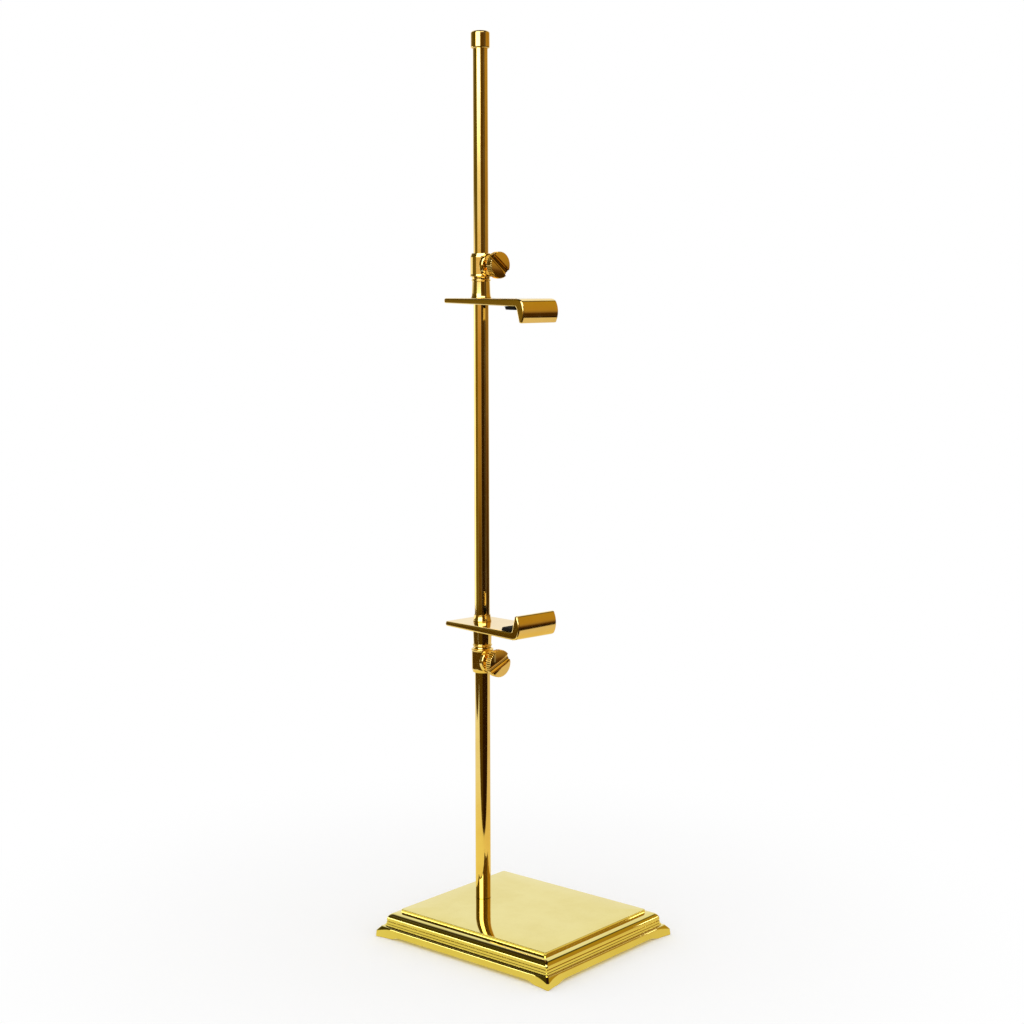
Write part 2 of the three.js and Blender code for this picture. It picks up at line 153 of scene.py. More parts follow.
def rounded(corners, steps=4):
    """Points of an outline from corners (x, y, radius), rounded by arcs; radius 0 leaves a corner sharp."""
    points = []
    count = len(corners)
    for k, (x, y, radius) in enumerate(corners):
        corner = Vector((x, y))
        if radius == 0:
            points.append(corner)
            continue
        before = (Vector(corners[k - 1][:2]) - corner).normalized()
        after = (Vector(corners[(k + 1) % count][:2]) - corner).normalized()
        half_angle = before.angle(after) / 2
        reach = radius / math.tan(half_angle)
        centre = corner + (before + after).normalized() * radius / math.sin(half_angle)
        first = corner + before * reach - centre
        last = corner + after * reach - centre
        for step in range(steps + 1):
            points.append(centre + first.lerp(last, step / steps).normalized() * radius)
    return points


# ------------------------------------------------------------------ solids


def turned(profile, segments=TURNED_SEGMENTS, sweep=math.tau, radius_at=None):
    """A solid about +Z from (radius, height) points: a ring, or a solid disc where both ends are on the axis.

    A sweep under a full turn leaves a split whose two faces are closed. radius_at changes a point's radius
    by its angle, which makes a knurl.
    """
    shape = bmesh.new()
    full_turn = sweep == math.tau
    columns = []
    for k in range(segments + (not full_turn)):
        angle = k * sweep / segments
        column = []
        for radius, height in profile:
            reach = radius_at(radius, height, angle) if radius_at else radius
            column.append(shape.verts.new((reach * math.cos(angle), reach * math.sin(angle), height)))
        columns.append(column)
    solid_disc = profile[0][0] < ON_AXIS and profile[-1][0] < ON_AXIS
    rows = len(profile) - solid_disc
    for k in range(segments):
        here, there = columns[k], columns[(k + 1) % len(columns)]
        for row in range(rows):
            below = (row + 1) % len(profile)
            shape.faces.new((here[row], here[below], there[below], there[row]))
    if not full_turn:
        shape.faces.new(columns[0])
        shape.faces.new(reversed(columns[-1]))
    bmesh.ops.remove_doubles(shape, verts=shape.verts, dist=SAME_POINT)
    return shape


def lofted(rings):
    """A solid over rings of equal count, with its first and last rings closed by flat faces."""
    shape = bmesh.new()
    loops = [[shape.verts.new(point) for point in ring] for ring in rings]
    count = len(loops[0])
    for lower, upper in zip(loops, loops[1:]):
        for k in range(count):
            after = (k + 1) % count
            shape.faces.new((lower[k], lower[after], upper[after], upper[k]))
    shape.faces.new(loops[0])
    shape.faces.new(reversed(loops[-1]))
    return shape


def outward_normals(points):
    """The outward direction at each point of a closed flat outline."""
    count = len(points)
    area = sum(points[k - 1].cross(points[k]) for k in range(count))
    side = 1 if area > 0 else -1
    normals = []
    for k in range(count):
        along = points[(k + 1) % count] - points[k - 1]
        normals.append(Vector((along.y, -along.x)).normalized() * side)
    return normals


def side_rounded_bar(points, width, edge_radius, stations=1, steps=4):
    """A bar running side to side whose section is points (forward, up) and whose end edges are rounded."""
    normals = outward_normals(points)

    def ring(side, angle):
        loop = []
        for point, normal in zip(points, normals):
            inset = point - normal * edge_radius * (1 - math.sin(angle))
            across = side * (width / 2 - edge_radius * (1 - math.cos(angle)))
            loop.append((across, -inset.x, inset.y))
        return loop

    angles = [k * math.pi / 2 / steps for k in range(steps + 1)]
    left = [ring(-1, angle) for angle in angles]
    right = [ring(1, angle) for angle in reversed(angles)]
    middle = []
    for k in range(1, stations):
        share = k / stations
        middle.append([Vector(a).lerp(b, share) for a, b in zip(left[-1], right[0])])
    return lofted(left + middle + right)


def face_outward(shape):
    """Turns every face of a closed shape to point out of it."""
    bmesh.ops.recalc_face_normals(shape, faces=shape.faces)
    if shape.calc_volume(signed=True) < 0:
        bmesh.ops.reverse_faces(shape, faces=shape.faces)


def new_object(name, shape, material=None):
    """A linked object made from a shape, which is used up."""
    mesh = bpy.data.meshes.new(name)
    shape.to_mesh(mesh)
    shape.free()
    if material:
        mesh.materials.append(material)
    made = bpy.data.objects.new(name, mesh)
    bpy.context.scene.collection.objects.link(made)
    return made


def prepared(shape):
    """The same shape with its faces pointing out, as a temporary object."""
    face_outward(shape)
    return new_object("temporary", shape)


def combined(shape, tool, operation="DIFFERENCE"):
    """The boolean of two closed shapes, both of which are used up."""
    target, cutter = prepared(shape), prepared(tool)
    modifier = target.modifiers.new("boolean", "BOOLEAN")
    modifier.operation = operation
    modifier.solver = "MANIFOLD"
    modifier.object = cutter
    evaluated = target.evaluated_get(bpy.context.evaluated_depsgraph_get())
    result = bmesh.new()
    result.from_mesh(evaluated.to_mesh())
    evaluated.to_mesh_clear()
    for holder in (target, cutter):
        mesh = holder.data
        bpy.data.objects.remove(holder)
        bpy.data.meshes.remove(mesh)
    return result


def cylinder(radius, low, high, segments=TURNED_SEGMENTS):
    return turned([(0, low), (radius, low), (radius, high), (0, high)], segments)


def add_piece(node, shape, material, place):
    """Stands a finished shape in for a CAD node, on the same body."""
    face_outward(shape)
    for edge in shape.edges:
        edge.smooth = edge.calc_face_angle(math.pi) < SHARP_ANGLE
    for face in shape.faces:
        face.smooth = True
    shape.transform(Matrix.Scale(MM, 4))
    piece = new_object(f"{node}_detailed", shape, material)
    piece.matrix_world = place
    weighted = piece.modifiers.new("even shading", "WEIGHTED_NORMAL")
    weighted.keep_sharp = True
    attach(piece, frame["nodes"][node]["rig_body"])
    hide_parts(node)

# ------------------------------------------------------------------ shader helpers


class Graph:
    """Short calls for building a node tree."""

    def __init__(self, tree):
        self.tree = tree
        tree.nodes.clear()

    def add(self, kind, inputs=None, **settings):
        """A new node; inputs maps a socket's name or number to a value or to another node's output."""
        node = self.tree.nodes.new(f"ShaderNode{kind}")
        for name, value in settings.items():
            setattr(node, name, value)
        for socket, value in (inputs or {}).items():
            if isinstance(value, bpy.types.NodeSocket):
                self.tree.links.new(value, node.inputs[socket])
            else:
                node.inputs[socket].default_value = value
        return node

    def maths(self, operation, *values):
        return self.add("Math", dict(enumerate(values)), operation=operation).outputs[0]

    def smooth_step(self, value, low, high):
        """0 below low, 1 above high, and a soft change between."""
        inputs = {"Value": value, "From Min": low, "From Max": high}
        return self.add("MapRange", inputs, interpolation_type="SMOOTHSTEP").outputs[0]

    def between(self, value, low, high):
        """value, from 0 to 1, spread over low to high."""
        return self.add("MapRange", {"Value": value, "To Min": low, "To Max": high}).outputs[0]

    def mix(self, share, first, second, blend="MIX"):
        inputs = {0: share, 6: first, 7: second}
        return self.add("Mix", inputs, data_type="RGBA", blend_type=blend).outputs[2]

    def dot(self, vector, direction):
        inputs = {0: vector, 1: direction}
        return self.add("VectorMath", inputs, operation="DOT_PRODUCT").outputs["Value"]

    def scaled(self, vector, scale):
        return self.add("VectorMath", {0: vector, 1: scale}, operation="MULTIPLY").outputs[0]

    def noise(self, vector, scale, detail=3, roughness=0.55):
        inputs = {"Vector": vector, "Scale": scale, "Detail": detail, "Roughness": roughness}
        return self.add("TexNoise", inputs).outputs["Fac"]

    def ramp(self, value, stops):
        node = self.add("ValToRGB", {"Fac": value})
        elements = node.color_ramp.elements
        while len(elements) < len(stops):
            elements.new(0.5)
        for element, (position, colour) in zip(elements, stops):
            element.position = position
            element.color = (*colour, 1)
        return node.outputs["Color"]

    def bump(self, height, distance, normal=None):
        inputs = {"Height": height, "Distance": distance, "Strength": 1}
        if normal:
            inputs["Normal"] = normal
        return self.add("Bump", inputs).outputs[0]

    def crevices(self, reach):
        """1 on open surfaces, falling towards 0 in corners narrower than reach, in metres."""
        return self.add("AmbientOcclusion", {"Distance": reach}, samples=6).outputs["AO"]


def rgba(colour):
    return (*colour, 1)


def new_material(name):
    material = bpy.data.materials.new(name)
    material.use_nodes = True
    return material, Graph(material.node_tree)


def finish_material(graph, inputs):
    shader = graph.add("BsdfPrincipled", inputs)
    graph.add("OutputMaterial", {"Surface": shader.outputs[0]})


# ------------------------------------------------------------------ materials

TARNISH = (0.30, 0.17, 0.035)
BRASS_SCRATCH_DEPTH = 4e-6
BRASS_RIPPLE_DEPTH = 5e-5


def brass(name, bright, deep, roughness, grain, ripple=1.0):
    """Polished brass. grain is the density of its polishing marks along x, y and z, per metre."""
    material, graph = new_material(name)
    place = graph.add("TexCoord").outputs["Object"]

    cloud = graph.noise(place, 24, 4, 0.6)
    colour = graph.mix(graph.smooth_step(cloud, 0.35, 0.7), rgba(bright), rgba(deep))
    speckle = graph.smooth_step(graph.noise(place, 900, 2), 0.66, 0.8)
    colour = graph.mix(graph.maths("MULTIPLY", speckle, 0.35), colour, rgba(TARNISH))
    corner = graph.smooth_step(graph.crevices(0.0015), 0.75, 0.25)
    colour = graph.mix(graph.maths("MULTIPLY", corner, 0.55), colour, rgba(TARNISH))

    scratches = graph.noise(graph.scaled(place, grain), 1, 5, 0.7)
    smudges = graph.smooth_step(graph.noise(place, 55, 5, 0.62), 0.4, 0.75)
    dulled = graph.between(smudges, roughness, roughness * 1.9)
    uneven = graph.between(scratches, -0.3 * roughness, 0.5 * roughness)
    worn = graph.maths("ADD", dulled, uneven)
    dirty = graph.maths("ADD", worn, graph.maths("MULTIPLY", corner, 0.2))

    waves = graph.bump(graph.noise(place, 45, 1), BRASS_RIPPLE_DEPTH * ripple)
    normal = graph.bump(scratches, BRASS_SCRATCH_DEPTH, waves)
    finish_material(graph, {"Base Color": colour, "Metallic": 1, "Roughness": dirty, "Normal": normal})
    return material


def felt():
    """Black wool felt: matted fibres, a little lint and a dull sheen."""
    material, graph = new_material("black_felt")
    place = graph.add("TexCoord").outputs["Object"]
    fibres = graph.noise(graph.scaled(place, (2600, 900, 2600)), 1, 6, 0.75)
    tufts = graph.noise(place, 420, 3)
    colour = graph.mix(fibres, rgba((0.002, 0.002, 0.002)), rgba((0.012, 0.011, 0.010)))
    lint = graph.smooth_step(graph.noise(place, 1500, 1), 0.72, 0.8)
    colour = graph.mix(graph.maths("MULTIPLY", lint, 0.25), colour, rgba((0.08, 0.07, 0.06)))
    normal = graph.bump(fibres, 1.5e-4, graph.bump(tufts, 2e-4))
    finish_material(graph, {
        "Base Color": colour,
        "Roughness": 0.95,
        "Normal": normal,
        "Sheen Weight": 0.03,
        "Sheen Roughness": 0.5,
        "Specular IOR Level": 0.05,
    })
    return material


def zinc_steel():
    """Zinc-plated steel: a grey spangle with slightly blue and slightly yellow patches."""
    material, graph = new_material("zinc_steel")
    place = graph.add("TexCoord").outputs["Object"]
    patches = graph.noise(place, 220, 3)
    colour = graph.mix(patches, rgba((0.5, 0.53, 0.58)), rgba((0.66, 0.63, 0.55)))
    worn = graph.between(graph.noise(place, 600, 4), 0.25, 0.5)
    normal = graph.bump(graph.noise(graph.scaled(place, (300, 300, 3000)), 1, 4), 1e-5)
    finish_material(graph, {"Base Color": colour, "Metallic": 1, "Roughness": worn, "Normal": normal})
    return material


def fibre():
    """Vulcanised fibre: warm brown, faintly streaked along its length."""
    material, graph = new_material("brown_fibre")
    place = graph.add("TexCoord").outputs["Object"]
    streaks = graph.noise(graph.scaled(place, (1800, 1800, 120)), 1, 5)
    colour = graph.mix(streaks, rgba((0.07, 0.03, 0.014)), rgba((0.16, 0.075, 0.035)))
    normal = graph.bump(streaks, 5e-5)
    finish_material(graph, {"Base Color": colour, "Roughness": 0.6, "Normal": normal})
    return material


# Polishing marks per metre: many of them side by side, few of them end to end.
ACROSS_GRAIN = 2600
ALONG_GRAIN = 40
EVEN_GRAIN = (700, 700, 700)
GRAIN_ALONG_ROD = (ACROSS_GRAIN, ACROSS_GRAIN, ALONG_GRAIN)
GRAIN_ROUND_AXIS = (ALONG_GRAIN, ALONG_GRAIN, ACROSS_GRAIN)
GRAIN_FRONT_TO_BACK = (ACROSS_GRAIN, ALONG_GRAIN, ACROSS_GRAIN)

base_brass = brass("base_brass", (0.81, 0.70, 0.235), (0.77, 0.65, 0.19), 0.035, EVEN_GRAIN, 1.4)
# The rod, turned and plate brass are tinted more orange than the base's brass: painted reflection, standing
# in for the warm light that the rod and brackets mirror.
rod_brass = brass("rod_brass", (0.90, 0.68, 0.25), (0.84, 0.60, 0.19), 0.04, GRAIN_ALONG_ROD, 0.5)
turned_brass = brass("turned_brass", (0.90, 0.67, 0.24), (0.83, 0.58, 0.18), 0.045, GRAIN_ROUND_AXIS, 0.8)
plate_brass = brass("plate_brass", (0.90, 0.67, 0.24), (0.82, 0.57, 0.18), 0.05, GRAIN_FRONT_TO_BACK)
black_felt = felt()
foot_steel = zinc_steel()
liner_fibre = fibre()

# ------------------------------------------------------------------ base casting

SPIGOT_RADIUS = 4
SPIGOT_HOLE_RADIUS = SPIGOT_RADIUS + 0.2
FILLET_OFFSET = 12.3  # how far the plinth's top edge stands out from the top face's edge
PLINTH_TOP = 14.1  # depth of the plinth's top edge below the top face
PLINTH_SLOPE = 0.08
PLINTH_SHARES = [0.25, 0.5, 0.75, 0.9, 0.95, 0.98, 1]  # closer together over the rounded bottom edge
BOTTOM_ROUND = 0.7
BEVEL_HEIGHT = 0.8
BEVEL_RUN = 0.5
FOOT_BEVEL_HEIGHT = 3.2  # at the corners the bevel above the plinth grows into the sweep of a foot
FOOT_BEVEL_RUN = 2.9
SWEEP_REACH = 15
MOULDING = outline(
    (0, 0),
    [(0.45, 0.03), (0.5, 0.4)],
    [(0.6, 3.0)],  # upright edge
    [(0.65, 3.2), (0.9, 3.3)],
    [(2.6, 3.45)],  # narrow ledge
    [(7.0, 3.6), (9.1, 6.0), (9.1, 8.8)],  # roll
    [(9.1, 9.8), (8.8, 10.2)],
    [(9.3, 10.4)],
    [(9.3, 12.1)],  # two upright fillets
    [(9.9, 12.3)],
    [(10, 13.4)],
    [(10.1, 13.7), (10.6, 13.75)],
    [(12, 13.8), (FILLET_OFFSET, PLINTH_TOP)],
)
INSIDE_WALL = [(9, 14.9), (4, 11.2), (-4, 5)]  # offset and depth, as in the moulding
PLINTH_WIDEST = (
    FILLET_OFFSET + FOOT_BEVEL_RUN + PLINTH_SLOPE * (BASE_HEIGHT - PLINTH_TOP - FOOT_BEVEL_HEIGHT)
)
INSIDE_BOTTOM = 10.4  # offset of the plinth's inner bottom edge
TOP_HALF_WIDTH = base_high.x - PLINTH_WIDEST
TOP_HALF_DEPTH = base_high.y - PLINTH_WIDEST
MITRE_RADIUS = 1.5
MITRE_STEPS = 5
FOOT_FLAT = 11.5
FOOT_STEPS = [0.5, 1.5, 3, 5, 7, 9]  # distances from the corner
ARCH_RAMP = 10
ARCH_RAMP_STEPS = 10
ARCH_HEIGHT = 2.4
MIDDLE_STEPS = 5
FALL_OFF_WIDTH = 24  # the polished top dips towards its edges over this width
FALL_OFF = 0.7
FALL_OFF_RINGS = 12
FALL_OFF_FADE = 4  # the dip also lowers the moulding, less and less down to this depth
BOSS_RADIUS = 14
BOSS_BOTTOM = 10
BOSS_CHAMFER = 0.6
BOSS_DRAFT = 2
ROOF_THICKNESS = 3


def arch_lift(from_corner):
    """How far the plinth's bottom edge is raised at a distance from the corner."""
    share = min(max((from_corner - FOOT_FLAT) / ARCH_RAMP, 0), 1)
    return ARCH_HEIGHT * math.sin(share * math.pi / 2) ** 1.3


def foot_sweep(from_corner):
    """1 at the corner, falling smoothly to 0 where the foot's sweep ends."""
    return (1 - min(from_corner / SWEEP_REACH, 1)) ** 2.2


def side_stations(half_side):
    """Places along a side, closer together over the feet.

    Each is a share of the side's half length and the distance from the nearer corner.
    """
    reach = half_side + PLINTH_WIDEST
    ramp_end = FOOT_FLAT + ARCH_RAMP
    ramp = [FOOT_FLAT + ARCH_RAMP * k / ARCH_RAMP_STEPS for k in range(ARCH_RAMP_STEPS + 1)]
    middle = [ramp_end + (reach - FOOT_FLAT - ARCH_RAMP) * k / MIDDLE_STEPS for k in range(1, MIDDLE_STEPS)]
    near = [(1 - distance / reach, distance) for distance in FOOT_STEPS + ramp + middle]
    far = [(-share, distance) for share, distance in reversed(near)]
    return near + [(0, reach)] + far


def base_stations():
    """Stations round the base.

    Each is shares of the half width and half depth, an outward direction and the distance from a corner.
    """
    stations = []
    for quarter in range(4):
        start = quarter * math.pi / 2
        side_x = 1 if quarter in (0, 3) else -1
        side_y = 1 if quarter in (0, 1) else -1
        for step in range(MITRE_STEPS + 1):
            angle = start + step * math.pi / 2 / MITRE_STEPS
            stations.append((side_x, side_y, math.cos(angle), math.sin(angle), 0))
        along_x = quarter in (0, 2)
        half_side = TOP_HALF_WIDTH if along_x else TOP_HALF_DEPTH
        for share, distance in side_stations(half_side):
            if along_x:
                stations.append((side_x * share, side_y, 0, side_y, distance))
            else:
                stations.append((side_x, side_y * share, side_x, 0, distance))
    return stations


def base_ring(stations, section_at):
    """One loop round the base; section_at gives an offset from the top face's edge and a depth below it."""
    ring = []
    for share_x, share_y, out_x, out_y, distance in stations:
        offset, depth = section_at(distance)
        x = share_x * (TOP_HALF_WIDTH + offset - MITRE_RADIUS) + MITRE_RADIUS * out_x
        y = share_y * (TOP_HALF_DEPTH + offset - MITRE_RADIUS) + MITRE_RADIUS * out_y
        ring.append((x, y, BASE_HEIGHT - depth))
    return ring


def bevel_edge(distance):
    """Offset and depth of the bevel's lower edge, where the plinth's face starts."""
    sweep = foot_sweep(distance)
    run = BEVEL_RUN + (FOOT_BEVEL_RUN - BEVEL_RUN) * sweep
    height = BEVEL_HEIGHT + (FOOT_BEVEL_HEIGHT - BEVEL_HEIGHT) * sweep
    return FILLET_OFFSET + run, PLINTH_TOP + height


def plinth_section(share):
    """The plinth's face at a share of its height, cut off below by the arches."""

    def section_at(distance):
        offset, top = bevel_edge(distance)
        bottom = BASE_HEIGHT - arch_lift(distance)
        depth = top + share * (bottom - top)
        short = max(BOTTOM_ROUND - (bottom - depth), 0)
        rounding = BOTTOM_ROUND - math.sqrt(BOTTOM_ROUND ** 2 - short ** 2)
        return offset + PLINTH_SLOPE * (depth - top) - rounding, depth

    return section_at


def base_rings():
    """Loops from the flat of the top, out over the mouldings, down the plinth and up its inside wall."""
    stations = base_stations()
    rings = []
    for k in range(FALL_OFF_RINGS, 0, -1):
        inward = FALL_OFF_WIDTH * (k / FALL_OFF_RINGS) ** 1.5
        dip = FALL_OFF * (1 - inward / FALL_OFF_WIDTH) ** 2.5
        rings.append(base_ring(stations, lambda distance: (-inward, dip)))
    for point in MOULDING:
        dip = FALL_OFF * max(1 - point.y / FALL_OFF_FADE, 0)
        rings.append(base_ring(stations, lambda distance: (point.x, point.y + dip)))
    rings.append(base_ring(stations, bevel_edge))
    for share in PLINTH_SHARES:
        rings.append(base_ring(stations, plinth_section(share)))
    rings.append(base_ring(stations, lambda distance: (INSIDE_BOTTOM, BASE_HEIGHT - arch_lift(distance))))
    for offset, depth in INSIDE_WALL:
        rings.append(base_ring(stations, lambda distance: (offset, depth)))
    return rings


def base_casting():
    roof = BASE_HEIGHT - ROOF_THICKNESS
    boss = turned([
        (0, BOSS_BOTTOM),
        (BOSS_RADIUS - BOSS_CHAMFER, BOSS_BOTTOM),
        (BOSS_RADIUS, BOSS_BOTTOM + BOSS_CHAMFER),
        (BOSS_RADIUS + BOSS_DRAFT, roof),
        (0, roof),
    ])
    hole = cylinder(SPIGOT_HOLE_RADIUS, -1, BASE_HEIGHT + 1)
    for tool in (boss, hole):
        tool.transform(Matrix.Translation((ROD_X, ROD_Y, 0)))
    shape = combined(combined(lofted(base_rings()), boss, "UNION"), hole)
    add_piece("base_casting", shape, base_brass, Matrix.Identity(4))


# ------------------------------------------------------------------ rod, cap, washer and nut


SEAT_GAP = 0.05
END_CHAMFER = 0.8
SHOULDER_CHAMFER = 0.25


def rod():
    shoulder = BASE_HEIGHT + SEAT_GAP
    profile = [
        (0, rod_low.z),
        (SPIGOT_RADIUS - END_CHAMFER, rod_low.z),
        (SPIGOT_RADIUS, rod_low.z + END_CHAMFER),
        (SPIGOT_RADIUS, shoulder),
        (ROD_RADIUS - SHOULDER_CHAMFER, shoulder),
        (ROD_RADIUS, shoulder + SHOULDER_CHAMFER),
        (ROD_RADIUS, rod_high.z - END_CHAMFER),
        (ROD_RADIUS - END_CHAMFER, rod_high.z),
        (0, rod_high.z),
    ]
    add_piece("rod", turned(profile), rod_brass, ROD_PLACE)


CROWN_RISE = 1.3  # the crown domes this far above the CAD cap's flat top
CROWN_HEIGHT = 2.6
CAP_SOCKET_RADIUS = ROD_RADIUS + 0.1


def rod_cap():
    low, high = cad_box("rod_cap")
    radius = (high.x - low.x) / 2
    top = high.z + CROWN_RISE
    crown = outline(
        (radius, top - CROWN_HEIGHT),
        [(radius, top - 2.1), (radius - 0.3, top - 1.7)],
        [(radius - 0.9, top - 1.1)],
        [(radius - 1.5, top - 0.6), (radius - 3.2, top - 0.3)],
        [(radius / 3, top), (0, top)],
    )
    skirt = outline(
        (CAP_SOCKET_RADIUS, low.z + 0.25),
        [(CAP_SOCKET_RADIUS + 0.2, low.z)],
        [(radius - 1.1, low.z)],
        [(radius - 0.15, low.z + 0.15), (radius, low.z + 1.3)],
    )
    roof = high.z - CROWN_HEIGHT
    shape = turned([(CAP_SOCKET_RADIUS, roof), *skirt, *crown, (0, roof)])
    add_piece("rod_cap", shape, turned_brass, ROD_PLACE)


def rod_foot_washer():
    low, high = cad_box("rod_foot_washer")
    radius = (high.x - low.x) / 2
    profile = rounded([
        (SPIGOT_HOLE_RADIUS, low.z, 0.2),
        (radius, low.z, 0.25),
        (radius, high.z, 0.45),
        (SPIGOT_HOLE_RADIUS, high.z, 0.2),
    ])
    add_piece("rod_foot_washer", turned(profile), foot_steel, ROD_PLACE)


NUT_CONE_HEIGHT = 0.8
THREAD_PITCH = 1.25
THREAD_CREST = SPIGOT_RADIUS + 0.1
THREAD_ROOT = SPIGOT_RADIUS + 0.55
THREAD_MOUTH = THREAD_ROOT + 0.4


def rod_foot_nut():
    """A hexagon with its corners turned off to a cone at both ends, and rings round its bore for a thread."""
    low, high = cad_box("rod_foot_nut")
    corner_radius = max(high.x - low.x, high.y - low.y) / 2
    flats = corner_radius * math.cos(math.pi / 6)
    hexagon = cylinder(corner_radius, low.z, high.z, segments=6)
    chamfered = turned([
        (0, low.z),
        (flats - 0.2, low.z),
        (corner_radius + 0.1, low.z + NUT_CONE_HEIGHT),
        (corner_radius + 0.1, high.z - NUT_CONE_HEIGHT),
        (flats - 0.2, high.z),
        (0, high.z),
    ])
    thread = [(0, low.z - 1), (THREAD_MOUTH, low.z - 1), (THREAD_MOUTH, low.z)]
    for k in range(int((high.z - low.z) / THREAD_PITCH)):
        start = low.z + 0.4 + k * THREAD_PITCH
        thread += [(THREAD_CREST, start), (THREAD_ROOT, start + THREAD_PITCH / 2)]
    thread += [(THREAD_MOUTH, high.z), (THREAD_MOUTH, high.z + 1), (0, high.z + 1)]
    shape = combined(combined(hexagon, chamfered, "INTERSECT"), turned(thread))
    add_piece("rod_foot_nut", shape, foot_steel, ROD_PLACE)


# ------------------------------------------------------------------ bracket pieces

REAR_THICKNESS = 4.2
FRONT_THICKNESS = 6.4
LIP_ROOT = 61.5
LIP_BULGE = 2.8
LIP_SHORTFALL = 0.6  # the lip's curve stays roughly this far inside its control points
INSIDE_ROUND = 2.5
TAPER_END = LIP_ROOT - INSIDE_ROUND
TIP_ROUND = 1.7
EDGE_ROUND = 1.3
PAD_THICKNESS = 3
PAD_GAP = 0.3
NECK_TUBE_RADIUS = 7.2
LINER_BORE = ROD_RADIUS + 0.2
LINER_RADIUS = LINER_BORE + 0.6
COLLAR_BORE = LINER_RADIUS + 0.2
LINER_SPLIT = 1.6
LINER_EDGE = 0.15
SCREW_HOLE_RADIUS = 3


class Bracket:
    """The CAD sizes that every piece of one bracket is drawn from."""

    def __init__(self, prefix):
        self.prefix = prefix
        self.place = bracket_place(prefix)
        plate_low, plate_high = self.box("plate")
        self.width = plate_high.x - plate_low.x
        self.rear = plate_high.y
        self.front = -plate_low.y - LIP_BULGE + LIP_SHORTFALL
        self.taper_start = REAR_THICKNESS / 2 - self.rear
        self.lip_height = -plate_low.z
        collar_low, collar_high = self.box("collar")
        self.collar_start, self.collar_end = collar_low.z, collar_high.z
        self.collar_radius = (collar_high.x - collar_low.x) / 2
        shoe_low, shoe_high = self.box("pressure_shoe")
        self.screw_height = (shoe_low.z + shoe_high.z) / 2
        forward = Matrix.Rotation(math.pi / 2, 4, "X")
        self.screw_place = self.place @ Matrix.Translation((0, 0, self.screw_height * MM)) @ forward

    def box(self, name):
        return local_box(f"{self.prefix}_{name}", self.place)

    def add(self, name, shape, material, along_screw=False):
        place = self.screw_place if along_screw else self.place
        add_piece(f"{self.prefix}_{name}", shape, material, place)

    def thickness(self, forward):
        """Plate thickness at a distance forward of the rod axis; it tapers towards the rear."""
        slope = (FRONT_THICKNESS - REAR_THICKNESS) / (TAPER_END - self.taper_start)
        return REAR_THICKNESS + slope * (forward - self.taper_start)


def bracket_plate(bracket):
    rear, front, tip = bracket.rear, bracket.front, bracket.lip_height
    lip_face_start = FRONT_THICKNESS + PAD_THICKNESS + 2 * PAD_GAP
    rear_round = REAR_THICKNESS / 2
    section = outline(
        (bracket.taper_start, 0),
        [(-rear, 0), (-rear, -rear_round)],
        [(-rear, -REAR_THICKNESS), (bracket.taper_start, -REAR_THICKNESS)],
        [(0, -bracket.thickness(0))],
        [(TAPER_END, -FRONT_THICKNESS)],
        [(LIP_ROOT, -FRONT_THICKNESS), (LIP_ROOT + 0.6, -lip_face_start)],
        [(front - 2 * TIP_ROUND - 0.2, TIP_ROUND - tip)],
        [(front - 2 * TIP_ROUND, -tip), (front - TIP_ROUND, -tip)],
        [(front, -tip), (front + 0.3, TIP_ROUND - tip)],
        [(front + LIP_BULGE, -tip * 0.68), (front + LIP_BULGE, -tip * 0.38), (front, -2.6)],
        [(front - 1.6, -0.3), (front - 6.5, 0)],
        [(0, 0)],
    )
    plate = side_rounded_bar(section, bracket.width, EDGE_ROUND)
    hole = cylinder(NECK_TUBE_RADIUS + 0.2, -tip, 1)
    bracket.add("plate", combined(plate, hole), plate_brass)


PAD_LIFT = 0.25  # drawn this much closer to the plate than PAD_GAP, as PAD_SINK opens the gap again
PAD_SINK = 0.12
PAD_EDGE_ROUND = 0.6
PAD_SPACING = 0.8
PAD_STATIONS = 48
PAD_LUMPS = [(1.1, 0.09), (0.35, 0.1)]  # density per millimetre and height


def grip_pad(bracket):
    """The felt pad, slightly uneven all over."""
    pad_low, pad_high = bracket.box("grip_pad")
    back, front = -pad_high.y, -pad_low.y
    top = -bracket.thickness(back) - PAD_GAP + PAD_LIFT
    front_top = -FRONT_THICKNESS - PAD_GAP + PAD_LIFT
    corners = [
        (back, top, 0.3),
        (back + 1.2, top - PAD_THICKNESS, 0.7),
        (front, front_top - PAD_THICKNESS, 0.7),
        (front - INSIDE_ROUND, front_top, 0.3),
    ]
    section = []
    coarse = rounded(corners)
    for k, point in enumerate(coarse):
        after = coarse[(k + 1) % len(coarse)]
        count = max(1, round((after - point).length / PAD_SPACING))
        section += [point.lerp(after, step / count) for step in range(count)]
    width = pad_high.x - pad_low.x
    pad = side_rounded_bar(section, width, PAD_EDGE_ROUND, stations=PAD_STATIONS)
    bmesh.ops.recalc_face_normals(pad, faces=pad.faces)
    pad.normal_update()
    for vertex in pad.verts:
        fluff = sum(noise.noise(vertex.co * density) * height for density, height in PAD_LUMPS)
        vertex.co += vertex.normal * (fluff - PAD_SINK)
    bracket.add("grip_pad", pad, black_felt)


NECK_SLEEVE_RADIUS = 7.15
NECK_SLEEVE_LENGTH = 4
NECK_GAP = 0.1


